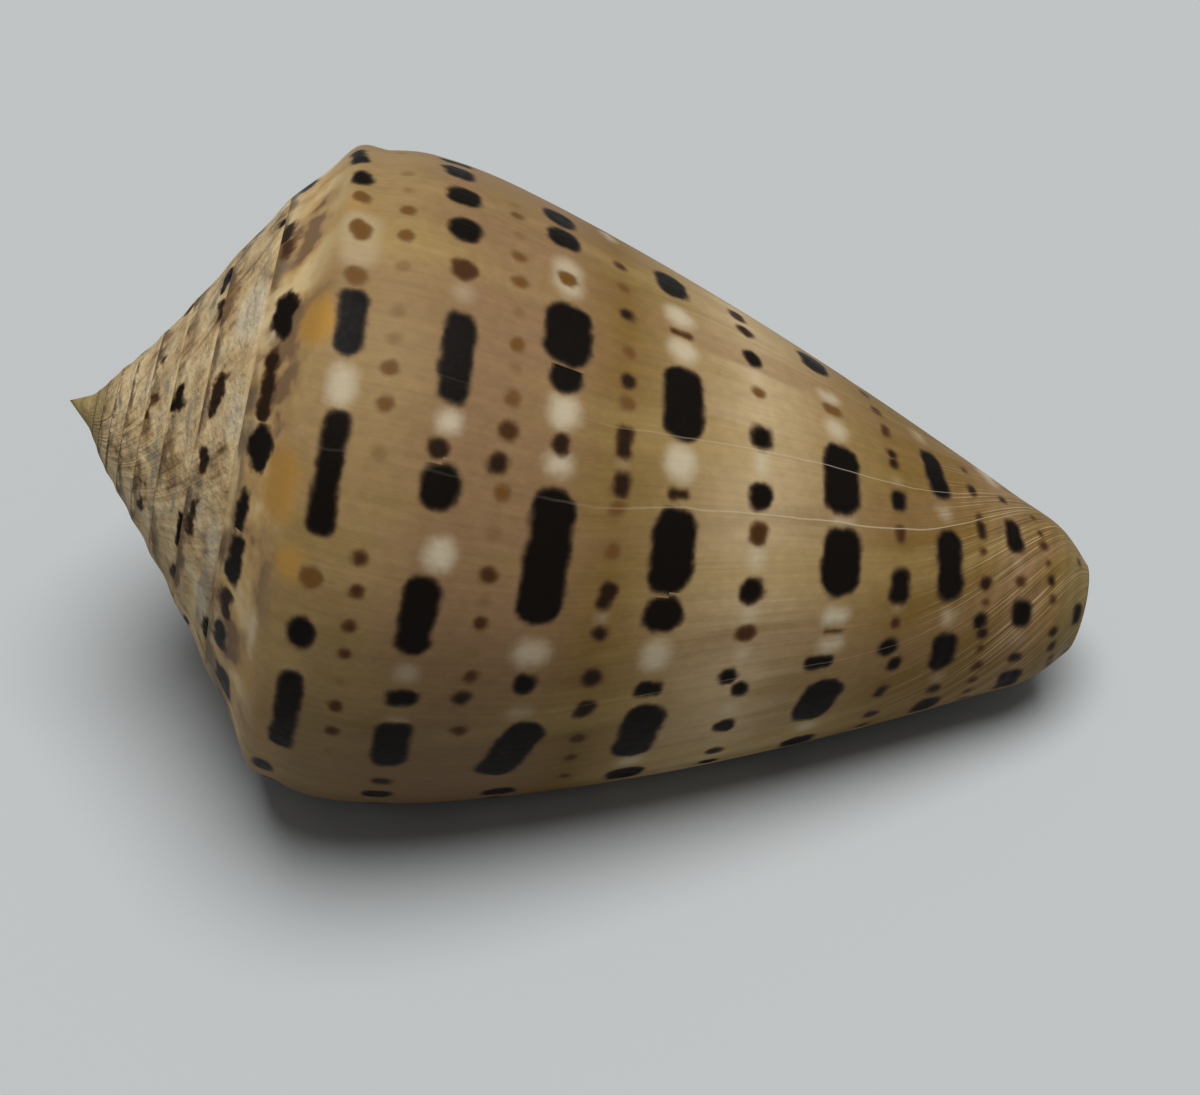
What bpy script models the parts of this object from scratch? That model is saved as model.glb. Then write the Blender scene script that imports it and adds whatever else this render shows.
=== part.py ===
"""A cone shell, 52 mm from its apex to its front end, lying on its aperture.

The shell is one solid. It is described on its own coiling axis: a place on its surface is a turn
angle, a distance along the axis from the apex and a radius. The turn angle is 0 at the outer lip and
negative back along the growth. At the end the shell is laid down: +X runs from the apex to the front
end as seen from above, +Z is up, and the origin is on the table under the middle of the shell.
"""

import math

import bmesh
import bpy

NAME = "cone_shell"
MM = 0.001

# Growth: in one turn everything grows by this factor, but the front end stays where it is.
GROWTH = 1.30
LENGTH = 52.0 * MM

# Shoulder of the last turn at the outer lip, as distance from the apex and radius.
SHOULDER = (12.6 * MM, 16.0 * MM)
# Half way from the suture up to the shoulder the last turn is a little hollow.
RAMP_HOLLOW = 0.12 * MM
# Side of the last turn at the lip, from below the shoulder to the rim of the front end.
SIDE = [
    (13.9 * MM, 16.55 * MM),
    (16.4 * MM, 17.1 * MM),
    (20.4 * MM, 16.7 * MM),
    (26.2 * MM, 14.95 * MM),
    (32.2 * MM, 12.7 * MM),
    (38.2 * MM, 10.1 * MM),
    (43.7 * MM, 7.45 * MM),
    (47.2 * MM, 5.65 * MM),
    (49.8 * MM, 4.3 * MM),
    (51.5 * MM, 2.5 * MM),
]
FRONT_POINT = 50.6 * MM

# The spire is a little hollow near its apex and fullest just behind the shoulder, both as shares
# of the shoulder's distance from the apex. The apex itself is a narrower point.
SPIRE_TURNS = 6
SPIRE_HOLLOW = 0.45 * MM
FULLEST_SHARE = 0.75
FULLNESS_FADE = 0.9
APEX_NARROWING = 0.6
APEX_LENGTH = 2.4 * MM
# The shell is slightly bent: apex and spire lean off the axis one way and the front end the other.
LEAN_ANGLE = math.radians(6)
APEX_LEAN = 0.7 * MM
APEX_LEAN_LENGTH = 8.0 * MM
SPIRE_LEAN = 0.45 * MM
FRONT_LEAN = 0.7 * MM
FRONT_LEAN_START = 20.0 * MM

# Aperture: a narrow slot between the outer lip and the turn before it.
WALL = 1.1 * MM
LIP_WALL = 0.6 * MM
LIP_TAPER = math.radians(40)
FRONT_WALL_SHARE = 0.55
CORE_PULL = 0.35
CORE_PULL_START = 30.0 * MM
CORE_PULL_FADE = math.radians(70)

# Pose on the table: the lip stands this far before the lowest line, and the axis dips to the front.
LIP_FROM_DOWN = math.radians(-40.4)
AXIS_DIP = math.radians(15)
WORN = 0.18 * MM

# Mesh resolution.
COLUMNS = 64
CAVITY_COLUMNS = 30
RAMP_ROWS = 3
SIDE_ROWS = 26
CAVITY_TOP_ROW = RAMP_ROWS + 2
FIRST_INNER_ROW = 2
# Step along the profile over which its slope is taken, in profile points.
SLOPE_STEP = 0.05

TURN = 2 * math.pi
SHELL_COLOUR = (0.40, 0.29, 0.16, 1.0)
SHELL_ROUGHNESS = 0.35


def clear_scene():
    for obj in list(bpy.data.objects):
        bpy.data.objects.remove(obj, do_unlink=True)


def smooth_step(value):
    value = min(max(value, 0.0), 1.0)
    return value * value * (3 - 2 * value)


def growth(angle):
    return GROWTH ** (angle / TURN)


def spline(points, place):
    """A Catmull-Rom curve through the points; place counts points from 0."""
    index = min(int(place), len(points) - 2)
    t = place - index
    before = points[max(index - 1, 0)]
    start = points[index]
    end = points[index + 1]
    after = points[min(index + 2, len(points) - 1)]
    return tuple(
        0.5
        * (
            2 * b
            + (c - a) * t
            + (2 * a - 5 * b + 4 * c - d) * t**2
            + (3 * b - a - 3 * c + d) * t**3
        )
        for a, b, c, d in zip(before, start, end, after)
    )


def profile_points():
    """The last turn at the lip, from its suture over the shoulder to the front rim."""
    along, radius = SHOULDER
    middle = (1 + 1 / GROWTH) / 2
    return [
        (along / GROWTH, radius / GROWTH),
        (along * middle + RAMP_HOLLOW, radius * middle - RAMP_HOLLOW),
        SHOULDER,
        *SIDE,
    ]


PROFILE = profile_points()
SHOULDER_PLACE = 2


def row_place(row):
    """Where a mesh row lies on the profile: ramp rows first, then side rows."""
    if row <= RAMP_ROWS:
        return SHOULDER_PLACE * row / RAMP_ROWS
    share = (row - RAMP_ROWS) / SIDE_ROWS
    return SHOULDER_PLACE + share * (len(PROFILE) - 1 - SHOULDER_PLACE)


def grown(angle, along, radius):
    """A profile point of the lip, moved back to an earlier turn angle."""
    scale = growth(angle)
    shoulder = SHOULDER[0]
    if along <= shoulder:
        return along * scale, radius * scale
    share = (along - shoulder) / (LENGTH - shoulder)
    return shoulder * scale + (LENGTH - shoulder * scale) * share, radius * scale


def core_pull(angle, along):
    """The share of its radius that the turn inside the aperture keeps, so that the slot stays open."""
    fade = 1 - smooth_step((angle + TURN) / CORE_PULL_FADE)
    front = smooth_step((along - CORE_PULL_START) / (LENGTH - CORE_PULL_START))
    return 1 - CORE_PULL * fade * front


def outer_point(angle, row):
    along, radius = grown(angle, *spline(PROFILE, row_place(row)))
    return along, radius * core_pull(angle, along)


def inner_point(angle, row):
    """The inside of the last turn's wall, square to the outer profile."""
    place = row_place(row)
    before = spline(PROFILE, max(place - SLOPE_STEP, 0))
    after = spline(PROFILE, min(place + SLOPE_STEP, len(PROFILE) - 1))
    run = math.hypot(after[0] - before[0], after[1] - before[1])
    towards_front = (after[0] - before[0]) / run
    outwards = (after[1] - before[1]) / run
    along, radius = spline(PROFILE, place)
    wall = LIP_WALL + (WALL - LIP_WALL) * smooth_step(-angle / LIP_TAPER)
    wall *= 1 - (1 - FRONT_WALL_SHARE) * smooth_step((along - SHOULDER[0]) / (LENGTH - SHOULDER[0]))
    return grown(angle, along + wall * outwards, radius - wall * towards_front)


def on_axis_frame(angle, along, radius):
    """Places a point around the coiling axis, with the spire's hollows and the shell's lean."""
    share = along / SHOULDER[0]
    wave = math.sin(TURN * min(share, 1.0))
    hollow = wave if share < FULLEST_SHARE else smooth_step((share - FULLEST_SHARE) / FULLNESS_FADE) - 1
    narrow = APEX_NARROWING * (1 - smooth_step(along / APEX_LENGTH))
    radius = (radius - SPIRE_HOLLOW * hollow) * (1 - narrow)
    front = max(along - FRONT_LEAN_START, 0.0) / (LENGTH - FRONT_LEAN_START)
    apex = 1 - smooth_step(along / APEX_LEAN_LENGTH)
    lean = APEX_LEAN * apex + SPIRE_LEAN * wave - FRONT_LEAN * front**2
    around = angle + LIP_FROM_DOWN
    lean_around = LEAN_ANGLE + LIP_FROM_DOWN
    return (
        along,
        radius * math.cos(around) + lean * math.cos(lean_around),
        radius * math.sin(around) + lean * math.sin(lean_around),
    )


def laid_down(point):
    """Turns (along, down, side) into world X, Y, Z with the axis dipping to the front."""
    along, down, side = point
    return (
        along * math.cos(AXIS_DIP) - down * math.sin(AXIS_DIP),
        side,
        -along * math.sin(AXIS_DIP) - down * math.cos(AXIS_DIP),
    )


class ShellMesh:
    """Vertices are named by column and row. A suture shares the shoulder of the turn before."""

    def __init__(self):
        self.bm = bmesh.new()
        self.outer_verts = {}
        self.inner_verts = {}
        self.first_column = -COLUMNS * (SPIRE_TURNS + 1)
        self.last_row = RAMP_ROWS + SIDE_ROWS

    def place(self, angle, along, radius):
        return self.bm.verts.new(laid_down(on_axis_frame(angle, along, radius)))

    def outer(self, column, row):
        if row == 0 and column - COLUMNS >= self.first_column:
            column, row = column - COLUMNS, RAMP_ROWS
        key = (column, row)
        if key not in self.outer_verts:
            angle = TURN * column / COLUMNS
            self.outer_verts[key] = self.place(angle, *outer_point(angle, row))
        return self.outer_verts[key]

    def inner(self, column, row):
        if row < FIRST_INNER_ROW:
            return self.outer(column - COLUMNS, CAVITY_TOP_ROW)
        key = (column, row)
        if key not in self.inner_verts:
            angle = TURN * column / COLUMNS
            self.inner_verts[key] = self.place(angle, *inner_point(angle, row))
        return self.inner_verts[key]

    def sheet(self, vert_at, columns, rows):
        """Quads between neighbouring columns and rows."""
        for column in columns:
            for row in rows:
                corners = [
                    vert_at(column, row),
                    vert_at(column + 1, row),
                    vert_at(column + 1, row + 1),
                    vert_at(column, row + 1),
                ]
                self.bm.faces.new(corners)

    def fan(self, loop, centre):
        for start, end in zip(loop, loop[1:] + loop[:1]):
            self.bm.faces.new([start, end, centre])

    def add_outside(self):
        self.sheet(self.outer, range(self.first_column, 0), range(RAMP_ROWS))
        self.sheet(self.outer, range(-COLUMNS, 0), range(RAMP_ROWS, self.last_row))

    def add_apex(self):
        first = self.first_column
        loop = [self.outer(column, 0) for column in range(first, first + COLUMNS)]
        loop += [self.outer(first, row) for row in range(RAMP_ROWS, 0, -1)]
        self.fan(loop, self.place(0.0, 0.0, 0.0))

    def add_aperture(self):
        back = -CAVITY_COLUMNS
        self.sheet(self.outer, range(back - COLUMNS, -COLUMNS), range(CAVITY_TOP_ROW, self.last_row))
        self.sheet(self.inner, range(back, 0), range(FIRST_INNER_ROW - 1, self.last_row))
        self.add_front_rim(back)
        self.add_lip_edge()
        self.add_cavity_end(back)

    def add_front_rim(self, back):
        for column in range(back, 0):
            corners = [
                self.outer(column, self.last_row),
                self.outer(column + 1, self.last_row),
                self.inner(column + 1, self.last_row),
                self.inner(column, self.last_row),
            ]
            self.bm.faces.new(corners)

    def add_lip_edge(self):
        outside = [self.outer(0, row) for row in range(self.last_row + 1)]
        inside = [self.inner(0, row) for row in range(self.last_row, FIRST_INNER_ROW - 1, -1)]
        body = [self.outer(-COLUMNS, row) for row in range(CAVITY_TOP_ROW, RAMP_ROWS, -1)]
        self.bm.faces.new(outside + inside + body)

    def add_cavity_end(self, back):
        wall = [self.inner(back, row) for row in range(FIRST_INNER_ROW, self.last_row + 1)]
        rows = range(self.last_row, CAVITY_TOP_ROW - 1, -1)
        self.bm.faces.new(wall + [self.outer(back - COLUMNS, row) for row in rows])

    def add_front_end(self):
        """The core's end, closed to a point on the axis inside the front rim."""
        back = -CAVITY_COLUMNS
        loop = [self.outer(column, self.last_row) for column in range(back - COLUMNS, back + 1)]
        loop.append(self.inner(back, self.last_row))
        self.fan(loop, self.place(0.0, FRONT_POINT, 0.0))

    def rest_on_table(self):
        """Wears the lowest spots flat and puts the origin under the middle of the shell."""
        verts = self.bm.verts
        floor = min(vert.co.z for vert in verts) + WORN
        middle_x = (min(vert.co.x for vert in verts) + max(vert.co.x for vert in verts)) / 2
        middle_y = (min(vert.co.y for vert in verts) + max(vert.co.y for vert in verts)) / 2
        for vert in verts:
            vert.co.z = max(vert.co.z, floor) - floor
            vert.co.x -= middle_x
            vert.co.y -= middle_y

    def finished(self):
        self.add_outside()
        self.add_apex()
        self.add_aperture()
        self.add_front_end()
        self.rest_on_table()
        bmesh.ops.recalc_face_normals(self.bm, faces=self.bm.faces)
        mesh = bpy.data.meshes.new(NAME)
        self.bm.to_mesh(mesh)
        self.bm.free()
        return mesh


def shell_material():
    material = bpy.data.materials.new("polished_shell")
    material.use_nodes = True
    surface = material.node_tree.nodes["Principled BSDF"]
    surface.inputs["Base Color"].default_value = SHELL_COLOUR
    surface.inputs["Roughness"].default_value = SHELL_ROUGHNESS
    surface.inputs["Metallic"].default_value = 0.0
    return material


def make_shell(collection):
    mesh = ShellMesh().finished()
    mesh.shade_smooth()
    mesh.set_sharp_from_angle(angle=math.radians(40))
    mesh.materials.append(shell_material())
    shell = bpy.data.objects.new(NAME, mesh)
    collection.objects.link(shell)
    return shell


def main():
    clear_scene()
    collection = bpy.data.collections.new("cone shell")
    bpy.context.scene.collection.children.link(collection)
    make_shell(collection)


main()
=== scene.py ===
"""The looks of the cone shell: its fine surface, its painted pattern, the paper it lies on and the light.

The surface is the part's own spiral surface at a finer step. A place on it is a turn angle in
degrees, 0 at the outer lip and negative back along the growth, and a place along the profile in mm,
measured at the lip as distance from the apex.
"""

import math
from collections import namedtuple

import bpy
import numpy as np
from mathutils import Matrix, Vector


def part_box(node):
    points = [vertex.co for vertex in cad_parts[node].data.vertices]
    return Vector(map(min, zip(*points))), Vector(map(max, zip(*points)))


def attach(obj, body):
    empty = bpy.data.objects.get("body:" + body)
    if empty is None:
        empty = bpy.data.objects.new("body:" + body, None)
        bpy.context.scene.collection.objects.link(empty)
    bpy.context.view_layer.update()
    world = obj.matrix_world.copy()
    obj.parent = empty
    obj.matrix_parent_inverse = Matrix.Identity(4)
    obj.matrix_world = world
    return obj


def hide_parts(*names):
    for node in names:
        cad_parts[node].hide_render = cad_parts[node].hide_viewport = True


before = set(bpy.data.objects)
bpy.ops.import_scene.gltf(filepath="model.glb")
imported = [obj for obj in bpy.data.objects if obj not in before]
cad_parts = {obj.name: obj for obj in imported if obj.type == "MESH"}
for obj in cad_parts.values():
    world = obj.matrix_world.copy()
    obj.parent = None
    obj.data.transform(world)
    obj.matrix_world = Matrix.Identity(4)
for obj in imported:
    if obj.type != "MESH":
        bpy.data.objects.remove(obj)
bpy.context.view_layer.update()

MM = 0.001
NODE = "cone_shell"

# The spiral surface, as in the part's source, in mm and degrees.
GROWTH = 1.30
LENGTH = 52.0
SHOULDER = (12.6, 16.0)
RAMP_HOLLOW = 0.12
SIDE = [
    (13.9, 16.55),
    (16.4, 17.1),
    (20.4, 16.7),
    (26.2, 14.95),
    (32.2, 12.7),
    (38.2, 10.1),
    (43.7, 7.45),
    (47.2, 5.65),
    (49.8, 4.3),
    (51.5, 2.5),
]
FRONT_POINT = 50.6
SPIRE_HOLLOW = 0.45
FULLEST_SHARE = 0.75
FULLNESS_FADE = 0.9
APEX_NARROWING = 0.6
APEX_LENGTH = 2.4
LEAN_ANGLE = 6
APEX_LEAN = 0.7
APEX_LEAN_LENGTH = 8.0
SPIRE_LEAN = 0.45
FRONT_LEAN = 0.7
FRONT_LEAN_START = 20.0
WALL = 1.1
LIP_WALL = 0.6
LIP_TAPER = 40
FRONT_WALL_SHARE = 0.55
CORE_PULL = 0.35
CORE_PULL_START = 30.0
CORE_PULL_FADE = 70
LIP_FROM_DOWN = -40.4
AXIS_DIP = 15
WORN = 0.18
SLOPE_STEP = 0.05

# The finer mesh.
COLUMNS = 280
CAVITY_COLUMNS = 131
SPIRE_TURNS = 8
RAMP_ROWS = 9
SIDE_ROWS = 130
CAVITY_TOP_ROW = RAMP_ROWS + 10
FIRST_INNER_ROW = 6
LIP_ROUNDING = 0.7
# How far inside the rim and the tip count, on a scale from 0 to 1 that chooses the lining's colour,
# where on it that colour comes in, and the degrees over which the wall behind the slot goes inside.
RIM_INSIDE = 0.3
TIP_INSIDE = 0.15
LINING_EDGE = (0.15, 0.7)
LINING_START = 25

# The camera, from the photo. Azimuth 0 looks along +Y.
CAMERA_AIM = (0.87, -0.38, 9.23)
CAMERA_DISTANCE = 156.0
CAMERA_AZIMUTH = 9.18
CAMERA_ELEVATION = 45.86
CAMERA_ROLL = -4.01
CAMERA_LENS = 93.27
CAMERA_SENSOR = 36.0
CAMERA_CLIP = 0.01

# The painted pattern. It runs in rows around the shell. A row's three places are where it lies at
# these turn angles, and it stays level behind PATTERN_LEVEL.
ROW_TURNS = (-160, -100, -40)
PATTERN_LEVEL = -180
# Tones of the marks, from black to a faint stain.
BLACK, DARK, BROWN, ORANGE, FAINT = 0.0, 0.35, 0.6, 0.8, 1.0
MARK_STOPS = [
    (BLACK, (0.006, 0.004, 0.003, 1)),
    (DARK, (0.020, 0.010, 0.005, 1)),
    (BROWN, (0.055, 0.022, 0.008, 1)),
    (ORANGE, (0.130, 0.058, 0.014, 1)),
    (FAINT, (0.160, 0.088, 0.034, 1)),
]
FRINGE_STOPS = [
    (BLACK, (0.060, 0.036, 0.018, 1)),
    (BROWN, (0.110, 0.055, 0.021, 1)),
    (FAINT, (0.175, 0.103, 0.042, 1)),
]
# Distances in mm from a mark's outline, inside it negative, over which its fringe and core come in.
FRINGE_EDGE = (0.26, -0.10)
CORE_EDGE = (0.10, -0.22)
# How much of a faint mark's colour shows.
FAINT_SHARE = 0.45
# The ground colours, linear, and the one that each row lies on.
TAN = (0.270, 0.174, 0.074, 1)
PINK = (0.225, 0.132, 0.064, 1)
OCHRE = (0.170, 0.098, 0.026, 1)
PALE = (0.430, 0.310, 0.170, 1)
ROW_GROUNDS = [TAN] * 2 + [PINK] * 3 + [OCHRE, TAN, PALE, TAN] + [OCHRE] * 3 + [PINK] + [OCHRE] * 2
OCHRE_BLOTCH = (0.215, 0.142, 0.046, 1)
GLOW = (0.330, 0.225, 0.085, 1)
# Painted shade, partly a darker ground: what is left of the ground's brightness on the broad part of the side
# nearest the lip, on the lower side of the shell.
LOWER_SIDE_PAINTED_SHADE = 0.68
WHITE_GROUND = (0.510, 0.430, 0.300, 1)
ORANGE_GROUND = (0.360, 0.190, 0.042, 1)
TIP_COLOUR = (0.200, 0.145, 0.050, 1)
TIP_LINE = (0.085, 0.048, 0.018, 1)
LINING = (0.600, 0.550, 0.470, 1)
LINING_SHADE = (0.520, 0.450, 0.370, 1)
SUTURE = (0.060, 0.036, 0.020, 1)
SPIRE_GREY = (0.300, 0.235, 0.155, 1)
APEX_COLOUR = (0.300, 0.220, 0.095, 1)
SPIRE_STOPS = [
    (0.36, (0.140, 0.078, 0.038, 1)),
    (0.43, (0.370, 0.245, 0.120, 1)),
    (0.52, (0.490, 0.355, 0.185, 1)),
    (0.63, (0.570, 0.450, 0.270, 1)),
]
# The slope of the last turn is smoother, with lilac brown, tan and pale clouds.
SLOPE_STOPS = [
    (0.37, (0.150, 0.086, 0.046, 1)),
    (0.43, (0.340, 0.205, 0.085, 1)),
    (0.51, (0.450, 0.285, 0.110, 1)),
    (0.61, (0.580, 0.430, 0.220, 1)),
]
# The smooth noises: waves in one mm, or in one unit of the lines that they follow, and the detail.
STREAKS = (0.9, 4.0)
FINE_STREAKS = (4.0, 3.0)
BLOTCHES = (0.16, 2.0)
SPECKS = (1.6, 3.0)
ZONES = (1.0, 2.0)
CLOUDS = (0.35, 3.0)
WORN_RAGS = (0.8, 3.0)
MARK_RAGS = (1.1, 2.0)
SPIRE_RAGS = (1.2, 2.0)
LINE_WAVER = (0.35, 2.0)
SPIRE_MOTTLE = (0.55, 4.0)
SPIRE_THREADS = (1.0, 3.0)
WHORLS = (0.8, 3.0)
# How far the noises move an outline, in mm for each unit of noise.
ORANGE_RAG = 0.9
PATCH_RAG = 0.6
MARK_RAG = 0.5
SPIRE_RAG = 1.3
WORN_RAG = 2.4
TIP_RAG = 1.5
WAVER_RAG = 0.5
# A dark mark's outline moves this many times as far on the slope above the shoulder.
RAMP_RAG = 2.0
# Distances in mm from the outline over which the soft patches come in.
ORANGE_EDGE = (0.4, -0.6)
PATCH_EDGE = (0.42, -0.55)
# Places in mm along the profile between which one look passes into the next.
RAMP_EDGE = (12.9, 12.3)
SLOPE_EDGE = (13.2, 11.2)
WORN_EDGE = (12.0, 10.9)
SUTURE_EDGE = (11.2, 9.75)
TIP_EDGE = (49.6, 51.6)
TIP_LINES_EDGE = (40.0, 48.0)
PALE_AND_GLINT_LINES_EDGE = (22.0, 38.0)
CORDS_EDGE = (41.0, 47.0)
# The next two bound the painted shade on the lower side of the shell.
PAINTED_SHADE_FRONT = (36.0, 20.0)
PAINTED_SHADE_TOP = (12.5, 16.0)
# The same for turn angles.
# The next one bounds the painted shade on the lower side of the shell.
PAINTED_SHADE_TURNS = (-88.0, -45.0)
SPIRE_EDGE_TURNS = (-190.0, -340.0)
APEX_TURNS = (-2150.0, -2500.0)
# The most that each of these colours covers the one below it.
OCHRE_SHARE = 0.6
ZONE_SHARE = 0.45
SLOPE_SHARE = 0.85
WORN_SHARE = 0.9
SUTURE_SHARE = 0.8
TIP_SHARE = 0.75
# Values of the noises between which these colours come in.
OCHRE_NOISE = (0.48, 0.66)
PINK_NOISE = (0.52, 0.66)
GLOW_NOISE = (0.48, 0.34)
GREY_NOISE = (0.52, 0.68)
SUTURE_NOISE = (0.42, 0.56)
DARK_LINE_NOISE = (0.52, 0.64)
PALE_LINE_NOISE = (0.45, 0.34)
LINING_NOISE = (0.3, 0.7)
# Noise values, and the ground's brightness at them.
SHADE_NOISE = (0.25, 0.75)
STREAK_SHADES = (0.94, 1.05)
SPECK_SHADES = (0.94, 1.06)
# Noise values, the roughness at them, what the spire adds to it and the specular level.
ROUGH_NOISE = (0.3, 0.7)
ROUGHNESS = (0.42, 0.52)
SPIRE_ROUGHNESS = 0.12
SPECULAR = 0.05
NOISE_MIDDLE = 0.5
# How much of the spire's mottling comes from its slanting streaks.
SPIRE_THREAD_SHARE = 0.35
# The fine relief: heights in mm, noises as above and the mm from one front cord to the next.
THREAD_HEIGHT = 0.015
WORN_HEIGHT = 0.16
CORD_HEIGHT = 0.02
LUMP_HEIGHT = 0.4
GRAIN_HEIGHT = 0.015
RELIEF_THREADS = (3.2, 3.0)
RELIEF_WORN = (1.0, 2.0)
RELIEF_LUMPS = (0.9, 4.0)
RELIEF_GRAIN = (3.0, 4.0)
FRONT_CORD_STEP = 0.8
# A growth streak's width as a share of its length; the zones' noise units in a mm across the growth
# lines and along the profile; and on the spire, in a degree, a streak's slant in mm and noise units.
STREAK_STRETCH = 0.05
ZONE_STRETCH = (0.2, 0.04)
SPIRE_SLANT = 0.22
WHORL_STRETCH = 0.06
# Growth lines: degrees that they bend back for each mm past BEND_START, and for each cubed mm past
# TIP_BEND_START; and the mm that one degree of turn takes up, about.
BEND_START = 26.0
BEND = 0.9
TIP_BEND_START = 38.0
TIP_BEND = 0.045
DEGREE_OF_TURN = 0.25
# Turn angle at BEND_START, half width in mm and strength of the pale lines: partly pale growth lines and
# partly painted highlight, glints along them.
PALE_AND_GLINT_LINES = [
    (-95.0, 0.10, 0.6),
    (-111.0, 0.07, 0.45),
    (-52.0, 0.07, 0.2),
    (-143.0, 0.07, 0.2),
    (-215.0, 0.12, 0.7),
    (-290.0, 0.10, 0.6),
]
# How much of them still shows behind PALE_AND_GLINT_LINES_EDGE.
PALE_AND_GLINT_LINES_BEHIND = 0.05
# How far a mark's corners are rounded, as a share of its half width.
DASH_ROUND = 0.85
DOT_ROUND = 1.0
# What is left of a white patch's size and whiteness, because its edge is soft.
PATCH_SIZE = 0.85
PATCH_STRENGTH = 0.8

# The paper and the light, in m and W.
PAPER_SIZE = 3.0
PAPER_COLOUR = (0.420, 0.430, 0.432, 1)
PAPER_ROUGHNESS = 0.9
SURROUND_COLOUR = (0.95, 0.98, 1.0, 1)
SURROUND_STRENGTH = 0.17
LAMP_PLACE = (0.16, 0.04, 1.5)
LAMP_AIM = (0.0, 0.0, 0.01)
LAMP_SIZE = 1.10
LAMP_WATTS = 28.0
LAMP_COLOUR = (0.98, 1.0, 1.0)

Mark = namedtuple("Mark", "turn place length width tone tilt round")
Row = namedtuple("Row", "places marks patches")
Fields = namedtuple(
    "Fields",
    "everywhere turn place inside row growth growth_line slanted fine_streak blotch speck on_ramp on_spire",
)


def dash(back, length, width, tilt=0.0, shift=0.0, tone=BLACK):
    """A mark centred that many degrees back from the lip. The row adds its own place to the shift."""
    return Mark(-back, shift, length, width, tone, tilt, DASH_ROUND)


def dot(back, size, tone=BLACK, wide=1.0, shift=0.0):
    return Mark(-back, shift, size, size * wide, tone, 0.0, DOT_ROUND)


def patch(back, length, width, strength=1.0, shift=0.0):
    """A white patch of the ground; its tone is how white it is."""
    length, width = length * PATCH_SIZE, width * PATCH_SIZE
    return Mark(-back, shift, length, width, strength * PATCH_STRENGTH, 0.0, DOT_ROUND)


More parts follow.
